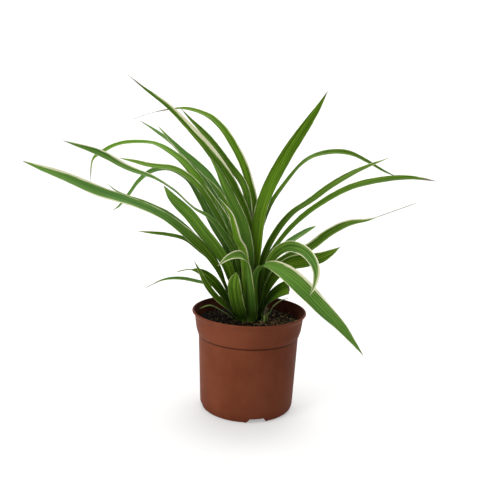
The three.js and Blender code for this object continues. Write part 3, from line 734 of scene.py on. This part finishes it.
def crumbs(x, y):
    """Height of the bumps in the compost at a place, all in mm."""
    def wave(fx, fy, turn):
        return sin(fx * x + fy * y + turn)
    long = 0.5 * wave(0.31, 0.17, 0.4) + 0.4 * wave(-0.23, 0.41, 1.7)
    return SOIL_BUMP * (long + 0.3 * wave(0.62, -0.35, 2.6))


def soil_height(x, y):
    """Height of the compost at a place, all in mm."""
    edge = bed_radius(SOIL_Z)
    r = hypot(x - PLANT[0] * 0.7, y - PLANT[1] * 0.7)
    t = smooth((edge - r) / (edge - MOUTH_R))
    fade = smooth((edge - hypot(x, y)) / 1.5)
    return SOIL_Z + MOUND * t + crumbs(x, y) * fade


def soil(earth):
    """The compost: the wall it fills, a rough top, and the hole that the crown stands in."""
    edge = bed_radius(SOIL_Z)
    heights = (BODY_FOOT[1], BODY_TOP[1], STEP[1], COLLAR_FOOT[1], SOIL_Z)
    mouth = CROWN["r"] + GAP
    shares = [k / SOIL_RINGS for k in range(1, SOIL_RINGS + 1)]
    profile = [(0, FLOOR + GAP), (FOOT_R - WALL - GAP, FLOOR + GAP)]
    profile += [(bed_radius(z), z) for z in heights]
    profile += [(edge + (MOUTH_R - edge) * t, SOIL_Z) for t in shares]
    profile += [(mouth, CROWN["top"]), (mouth, CROWN["foot"] - GAP), (0, CROWN["foot"] - GAP)]
    vertices, faces = turned(profile, SOIL_SIDES)
    placed = []
    for vertex in vertices:
        x, y, z = (c / MM for c in vertex)
        r = hypot(x, y)
        if z > COLLAR_FOOT[1] - 10:
            # The hole and the mound shift to the plant's centre, and the wall stays.
            share = 1 - smooth((r - MOUTH_R) / (edge - MOUTH_R))
            x, y = x + PLANT[0] * share, y + PLANT[1] * share
            if z > SOIL_Z - 0.5 and r < edge - 0.1:
                z = soil_height(x, y)
        placed.append((x * MM, y * MM, z * MM))
    made = object_from("compost_bed", mesh_from("compost_bed", placed, faces), earth)
    shaded_smooth(made.data, angle=60)
    return made


def geometry_tree(name, source, numbers, result):
    """A geometry tree on a board: a shape, numbers and a material in, a shape out."""
    tree = bpy.data.node_groups.new(name, "GeometryNodeTree")
    face = tree.interface
    face.new_socket(source, in_out="INPUT", socket_type="NodeSocketGeometry")
    for label, value in numbers.items():
        kind = "NodeSocketInt" if isinstance(value, int) else "NodeSocketFloat"
        face.new_socket(label, in_out="INPUT", socket_type=kind).default_value = value
    face.new_socket("Finish", in_out="INPUT", socket_type="NodeSocketMaterial")
    face.new_socket(result, in_out="OUTPUT", socket_type="NodeSocketGeometry")
    board = Board(tree)
    return board, board.node("NodeGroupInput")


def finish_tree(board, shape, finish):
    """Makes the shape real, gives it its material and hands it out."""
    real = board.node("GeometryNodeRealizeInstances", {"Geometry": shape})
    done = board.node("GeometryNodeSetMaterial", {"Geometry": real, "Material": finish})
    board.node("NodeGroupOutput", {0: done})
    return board.tree


def scatter_tree():
    """Bits strewn over a surface: named sizes, a count per square metre and a seed."""
    board, given = geometry_tree("Strewn bits", "Ground", {
        "Density": 100000.0, "Smallest": 0.0005, "Largest": 0.002, "Length": 1.0, "Sink": 0.3,
        "Seed": 1}, "Bits")
    seed = given["Seed"]
    spots = board.node("GeometryNodeDistributePointsOnFaces", {
        "Mesh": given["Ground"], "Density": given["Density"], "Seed": seed})
    ball = board.node("GeometryNodeMeshIcoSphere", {"Radius": 1.0, "Subdivisions": 2})
    place = board.node("GeometryNodeInputPosition")
    lumps = board.noise(place, 1.1, 2, 0.5)["Color"]
    knocked = board.vector("MULTIPLY_ADD", lumps, (1.5, 1.5, 1.5), (-0.75, -0.75, -0.75))
    lump = board.node("GeometryNodeSetPosition", {"Geometry": ball, "Offset": knocked})

    def random(low, high, shift, kind="FLOAT"):
        first, second = (0, 1) if kind == "FLOAT_VECTOR" else (2, 3)
        inputs = {first: low, second: high, "Seed": seed + shift}
        return board.node("FunctionNodeRandomValue", inputs, data_type=kind)

    whole_turn = 6.283
    turn = random((0, 0, 0), (whole_turn,) * 3, 3, "FLOAT_VECTOR")
    size = random(given["Smallest"], given["Largest"], 5)
    squat = random((0.6, 0.6, 0.5), (1.1, 1.0, 0.9), 7, "FLOAT_VECTOR")
    longer = board.vector("MULTIPLY", squat, board.joined(given["Length"], 1.0, 1.0))
    stood = board.node("GeometryNodeInstanceOnPoints", {
        "Points": spots, "Instance": lump, "Rotation": turn, "Scale": board.scaled(longer, size)})
    sunk = board.node("GeometryNodeTranslateInstances", {
        "Instances": stood, "Translation": board.joined(0, 0, size * given["Sink"]),
        "Local Space": False})
    marked = board.node("GeometryNodeStoreNamedAttribute", {
        "Geometry": sunk, "Name": "shade", "Value": random(0.0, 1.0, 11)}, domain="INSTANCE")
    return finish_tree(board, marked, given["Finish"])


def with_tree(made, tree, inputs):
    """Puts a geometry tree on an object and sets the tree's inputs by name."""
    change = made.modifiers.new(tree.name, "NODES")
    change.node_group = tree
    for item in tree.interface.items_tree:
        if item.in_out == "INPUT" and item.name in inputs:
            change[item.identifier] = inputs[item.name]


def bed_patch(front_right=False):
    """A sheet on top of the compost for bits to be strewn on: all of it, or its front right."""
    rings, sides, corner = 10, 60, 10 * MM
    edge = wall_radius(SOIL_Z) - WALL - 2
    inner = MOUTH_R - 3.5
    vertices, faces = [], []
    for k in range(rings + 1):
        t = k / rings
        for s in range(sides):
            turn = 2 * pi * s / sides
            r = inner + (edge - inner) * t
            x = r * cos(turn) + PLANT[0] * (1 - t)
            y = r * sin(turn) + PLANT[1] * (1 - t)
            vertices.append((x * MM, y * MM, soil_height(x, y) * MM))
    for k in range(rings):
        for s in range(sides):
            n = (s + 1) % sides
            face = (k * sides + s, (k + 1) * sides + s, (k + 1) * sides + n, k * sides + n)
            middle = sum((Vector(vertices[v]) for v in face), Vector()) / 4
            if not front_right or (middle.x >= corner and middle.y <= corner):
                faces.append(face)
    return mesh_from("bed_patch", vertices, faces)


def strewn(tree, name, finish, patch, **sizes):
    ground = object_from(name, patch)
    with_tree(ground, tree, {**sizes, "Finish": finish})
    return settled(ground, name)


def crown(flesh):
    r, foot, top = CROWN.values()
    ribs = [(r - 0.15 + 0.15 * sin(k * 1.7), foot + 4.5 + (top - foot - 5) * k / 9)
            for k in range(10)]
    corners = [(0, foot), (r - 3, foot), (r - 0.7, foot + 2), *ribs, (r - 0.6, top), (0, top)]
    vertices, faces = turned(rounded(corners, cut=0.6, steps=2), CROWN_SIDES)
    moved = [(x + PLANT[0] * MM, y + PLANT[1] * MM, z) for x, y, z in vertices]
    made = object_from("crown_base", mesh_from("crown_base", moved, faces), flesh)
    shaded_smooth(made.data, angle=50)
    return made


# Leaves


def ring_radius(ring):
    return RING_FIRST + ring * RING_STEP


def leaf_route(leaf):
    """The points that the midrib passes, in mm."""
    first, last = leaf["heading"]
    turn = radians(leaf["at"])
    r = ring_radius(leaf["ring"])
    foot = Vector((PLANT[0] + r * cos(turn), PLANT[1] + r * sin(turn), BASE_Z))
    points = [foot, Vector((foot.x, foot.y, UPRIGHT_Z))]
    count = len(leaf["route"])
    for k, (run, height) in enumerate(leaf["route"]):
        way = radians(first + (last - first) * k / (count - 1))
        points.append(Vector((foot.x + run * cos(way), foot.y + run * sin(way), height)))
    return points


def midrib(points):
    """A centripetal curve through the points, as many close places and the length up to each."""
    ends = [points[0] * 2 - points[1], *points, points[-1] * 2 - points[-2]]
    places = []
    for k in range(len(points) - 1):
        p0, p1, p2, p3 = ends[k:k + 4]
        d0, d1, d2 = (max((b - a).length ** 0.5, 1e-4) for a, b in ((p0, p1), (p1, p2), (p2, p3)))
        out = ((p1 - p0) / d0 - (p2 - p0) / (d0 + d1) + (p2 - p1) / d1) * d1
        into = ((p2 - p1) / d1 - (p3 - p1) / (d1 + d2) + (p3 - p2) / d2) * d1
        for j in range(CURVE_STEPS):
            t = j / CURVE_STEPS
            cubic = 2 * p1 - 2 * p2 + out + into
            square = 3 * p2 - 3 * p1 - 2 * out - into
            places.append(p1 + out * t + square * t ** 2 + cubic * t ** 3)
    places.append(points[-1].copy())
    lengths = [0.0]
    for a, b in zip(places, places[1:]):
        lengths.append(lengths[-1] + (b - a).length)
    return places, lengths


def spaced(places, lengths, steps):
    """Points at equal lengths along the midrib."""
    result = []
    k = 0
    for i in range(steps + 1):
        want = lengths[-1] * i / steps
        while k < len(lengths) - 2 and lengths[k + 1] < want:
            k += 1
        run = max(lengths[k + 1] - lengths[k], 1e-9)
        result.append(places[k].lerp(places[k + 1], min(1.0, (want - lengths[k]) / run)))
    return result


def value_at(values, t):
    """The value at share t of an evenly spaced list. A single number holds all along."""
    if not isinstance(values, (list, tuple)):
        return values
    place = t * (len(values) - 1)
    k = min(int(place), len(values) - 2)
    return values[k] + (values[k + 1] - values[k]) * (place - k)


def width_at(leaf, t):
    """Width in mm at share t: a narrow sheath, a swell, and a taper to a point or a whisker."""
    width = leaf["width"]
    room = 1.3 * ring_radius(leaf["ring"]) + 1.2
    sheath = min(SHEATH, SHEATH_SHARE * width, room)
    swell = sheath + (width - sheath) * smooth(t / SWELL_END)
    if leaf.get("cut"):
        return swell
    out = min(1.0, max(0.0, (t - TAPER_START) / (1 - leaf.get("tail", 0) - TAPER_START)))
    end = TAIL_WIDTH if leaf.get("tail") else TIP_WIDTH
    least = end * (1 - 0.6 * smooth((t - 0.97) / 0.03))
    return max(least, swell * (1 - out ** leaf.get("point", TAPER)))


def leaf_spine(leaf, number):
    """A string of vertices up the midrib that carries what the blade tree needs at each."""
    points = leaf_route(leaf)
    places, lengths = midrib(points)
    length = lengths[-1]
    steps = max(FEWEST_STATIONS, round(length / STATION))
    spine = spaced(places, lengths, steps)
    last = points[-1]
    onward = degrees(atan2(last.y - PLANT[1], last.x - PLANT[0]))
    turn = (leaf.get("face", onward) - leaf["at"] + 180) % 360 - 180
    steady = dict(stripe=leaf.get("stripe", 0.0), dry=leaf.get("dry", DRY),
                  scar=leaf.get("scar", NO_SCAR), odd=number * 1.37)
    rows = []
    for i, point in enumerate(spine):
        t = i / steps
        width = width_at(leaf, t)
        tangent = (spine[min(i + 1, steps)] - spine[max(i - 1, 0)]).normalized()
        bearing = radians(leaf["at"] + turn * smooth(t / TURN_END))
        side = Vector((-sin(bearing), cos(bearing), 0))
        side = (side - tangent * side.dot(tangent)).normalized()
        side = Matrix.Rotation(radians(value_at(leaf.get("roll", 0), t)), 3, tangent) @ side
        nested = width / (4 * ring_radius(leaf["ring"]))
        tilt = nested + (radians(FOLD) - nested) * smooth(t / TURN_END)
        lift = tangent.cross(side)
        # Past the nested bases the route runs through the middle of the channel, not along its keel.
        sunk = sin(tilt) * width / 4 * smooth(t / TURN_END)
        torn = TORN * smooth((t - TORN_START) / 0.12) if leaf.get("cut") else 0.0
        # The cream fades out towards the base and where the blade is a whisker.
        painted = (0.05 + 0.95 * smooth((t - 0.15) / 0.35)) * smooth(width / 5)
        rows.append(dict(
            at=(point - lift * sunk) * MM, side=side, lift=lift, ahead=tangent * torn * MM,
            half=width / 2 * MM, tilt=tilt, body=min(1.0, 0.35 + width / 12),
            along=length * t * MM, share=t,
            tone=value_at(leaf["tone"], t), blue=value_at(leaf.get("blue", 0.0), t),
            plus=value_at(leaf.get("plus", MARGIN), t) * painted * MM,
            minus=value_at(leaf.get("minus", MARGIN), t) * painted * MM, **steady))
    shut = dict(half=0.0, body=0.0)
    rows = [{**rows[0], **shut}, *rows, {**rows[-1], **shut}]
    mesh = bpy.data.meshes.new("spine")
    mesh.from_pydata([tuple(row["at"]) for row in rows], [(k, k + 1) for k in range(len(rows) - 1)], [])
    for name in ("side", "lift", "ahead"):
        carrier = mesh.attributes.new(name, "FLOAT_VECTOR", "POINT")
        carrier.data.foreach_set("vector", [c for row in rows for c in row[name]])
    for name in ("half", "tilt", "body", "along", "share", "tone", "blue", "plus", "minus", *steady):
        carrier = mesh.attributes.new(name, "FLOAT", "POINT")
        carrier.data.foreach_set("value", [row[name] for row in rows])
    return mesh


def blade_tree():
    """Wraps a closed thin blade round a spine: a channel in section, thin at the margins."""
    board, given = geometry_tree("Leaf blade", "Spine", {
        "Columns": 24, "Thickness": 0.0005, "Ripple": 0.0005, "Ripple length": 0.03, "Seed": 0.0},
        "Blade")
    spine = given["Spine"]
    columns = given["Columns"]
    stations = board.node("GeometryNodeAttributeDomainSize", {0: spine})["Point Count"]
    grid = board.node("GeometryNodeMeshGrid", {
        "Size X": 1.0, "Size Y": 1.0, "Vertices X": columns + 1, "Vertices Y": stations})
    index = board.node("GeometryNodeInputIndex")
    # A little more than the quotient, so that a rounded whole number isn't floored to the one below.
    column = board.maths("FLOOR", index / stations + 0.5 / 4096)
    station = index - column * stations
    angle = column * (2 * pi) / columns
    across, through = board.maths("COSINE", angle), board.maths("SINE", angle)

    def sampled(name, kind="FLOAT"):
        if name == "position":
            value = board.node("GeometryNodeInputPosition")
        else:
            value = board.node("GeometryNodeInputNamedAttribute", {"Name": name}, data_type=kind)
        inputs = {"Geometry": spine, "Value": value, "Index": station}
        return board.node("GeometryNodeSampleIndex", inputs, data_type=kind)

    half, tilt, run = sampled("half"), sampled("tilt"), sampled("along")
    swing = board.joined(run / given["Ripple length"], across * 0.8, given["Seed"])
    wander = board.noise(swing, 1.0, 2, 0.5)
    ripple = (wander - 0.5) * 2.0 * given["Ripple"] * (abs(across) ** 1.6) * (half / RIPPLE_HALF)
    channel = abs(across) * (0.55 + 0.45 * abs(across))
    depth = channel * half * board.maths("SINE", tilt)
    thick = given["Thickness"] * 0.5 * through * sampled("body")
    aside = across * half * board.maths("COSINE", tilt)
    out = board.scaled(sampled("side", "FLOAT_VECTOR"), aside)
    up = board.scaled(sampled("lift", "FLOAT_VECTOR"), depth + ripple + thick)
    teeth = board.noise(board.joined(across * 3.2, given["Seed"], 0), 1.0, 3, 0.75)
    tear = board.scaled(sampled("ahead", "FLOAT_VECTOR"), (teeth - 0.5) * 4)
    place = board.vector("ADD", board.vector("ADD", sampled("position", "FLOAT_VECTOR"), out), up)
    place = board.vector("ADD", place, tear)
    shape = board.node("GeometryNodeSetPosition", {"Geometry": grid, "Position": place})
    kept = {"across": across, "upper": board.rise(through, -0.15, 0.15)}
    for name in ("half", "along", "share", "plus", "minus", "tone", "blue", "stripe", "dry", "scar", "odd"):
        kept[name] = sampled(name)
    for name, value in kept.items():
        shape = board.node("GeometryNodeStoreNamedAttribute", {
            "Geometry": shape, "Name": name, "Value": value})
    shut = board.node("GeometryNodeMergeByDistance", {"Geometry": shape, "Distance": 4e-6})
    soft = board.node("GeometryNodeSetShadeSmooth", {"Geometry": shut, "Shade Smooth": True})
    return finish_tree(board, soft, given["Finish"])


def outward(mesh):
    """Points all faces of a closed mesh outwards."""
    work = bmesh.new()
    work.from_mesh(mesh)
    bmesh.ops.recalc_face_normals(work, faces=work.faces)
    if work.calc_volume(signed=True) < 0:
        bmesh.ops.reverse_faces(work, faces=work.faces)
    work.to_mesh(mesh)
    work.free()


def blade(tree, leaf, number, skin):
    name = leaf["name"].replace("leaf_", "blade_")
    source = object_from(name, leaf_spine(leaf, number))
    with_tree(source, tree, {
        "Columns": COLUMNS, "Thickness": THICKNESS * MM, "Ripple": RIPPLE * MM,
        "Ripple length": RIPPLE_LENGTH * MM, "Seed": number * 3.1, "Finish": skin})
    made = settled(source, name)
    outward(made.data)
    return made


# Studio


def camera():
    tilt, lean = radians(CAMERA["tilt"]), radians(CAMERA["lean"])
    back = Vector((0, -cos(tilt), sin(tilt)))
    right = Vector((1, 0, 0))
    up = back.cross(right)
    right, up = right * cos(lean) + up * sin(lean), up * cos(lean) - right * sin(lean)
    made = bpy.data.cameras.new("camera")
    made.sensor_fit = "HORIZONTAL"
    made.sensor_width = 36
    made.lens = CAMERA["focal"] / CAMERA["frame"] * made.sensor_width
    made.clip_end = 50
    seat = object_from("camera", made)
    place = Vector(CAMERA["aim"]) * MM + back * CAMERA["away"]
    seat.matrix_world = Matrix.Translation(place) @ Matrix((right, up, back)).transposed().to_4x4()
    bpy.context.scene.camera = seat


def lamp(name, place, aim, size, power):
    made = bpy.data.lights.new(name, "AREA")
    made.shape = "DISK"
    made.size = size
    made.energy = power
    seat = object_from(name, made)
    seat.location = place
    seat.rotation_euler = (Vector(aim) - Vector(place)).to_track_quat("-Z", "Y").to_euler()


def studio():
    """A white floor that sweeps up behind, the lamps and a pale sky."""
    near, bend, radius, top, half, drop = SWEEP.values()
    profile = [(near, 0.0), (bend, 0.0)]
    profile += [(bend + radius * sin(a), radius - radius * cos(a))
                for a in (radians(90 * k / 16) for k in range(1, 17))]
    profile.append((bend + radius, top))
    vertices = [(x, y, z - drop) for y, z in profile for x in (-half, half)]
    faces = [(2 * k, 2 * k + 1, 2 * k + 3, 2 * k + 2) for k in range(len(profile) - 1)]
    sweep = object_from("studio_floor", mesh_from("studio_floor", vertices, faces), studio_white())
    shaded_smooth(sweep.data)
    for one in LAMPS:
        lamp(**one)
    world = bpy.data.worlds.new("studio sky")
    world.use_nodes = True
    shade = world.node_tree.nodes["Background"]
    shade.inputs["Color"].default_value = (1, 1, 1, 1)
    shade.inputs["Strength"].default_value = SKY_STRENGTH
    bpy.context.scene.world = world
    bpy.context.scene.view_settings.view_transform = "Standard"


# The plant

camera()
studio()

pot_made = pot(pot_plastic())
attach(pot_made, "root")
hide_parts("pot")

bed = soil(compost())
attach(bed, "root")
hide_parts("soil")

bits = scatter_tree()
dark_bits = crumb_bits("peat crumbs", "0d0805", "281a10", "6f5836")
pale_bits = crumb_bits("bark and grit", "35291a", "6e5c3a", "50582a")
peat = strewn(bits, "peat_crumbs", dark_bits, bed_patch(), Density=330000.0,
              Smallest=0.45 * MM, Largest=1.5 * MM, Length=1.2, Sink=0.2, Seed=4)
bark = strewn(bits, "bark_bits", pale_bits, bed_patch(), Density=26000.0,
              Smallest=0.4 * MM, Largest=1.3 * MM, Length=1.9, Sink=0.7, Seed=9)
tan = strewn(bits, "tan_bits", pale_bits, bed_patch(front_right=True), Density=90000.0,
              Smallest=0.4 * MM, Largest=1.2 * MM, Length=1.5, Sink=0.8, Seed=15)
for piece in (peat, bark, tan):
    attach(piece, "root")

crown_made = crown(crown_flesh())
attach(crown_made, "root")
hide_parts("crown")

skin = leaf_skin()
wrap = blade_tree()
for number, leaf in enumerate(LEAVES):
    made = blade(wrap, leaf, number, skin)
    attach(made, "root")
    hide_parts(leaf["name"])
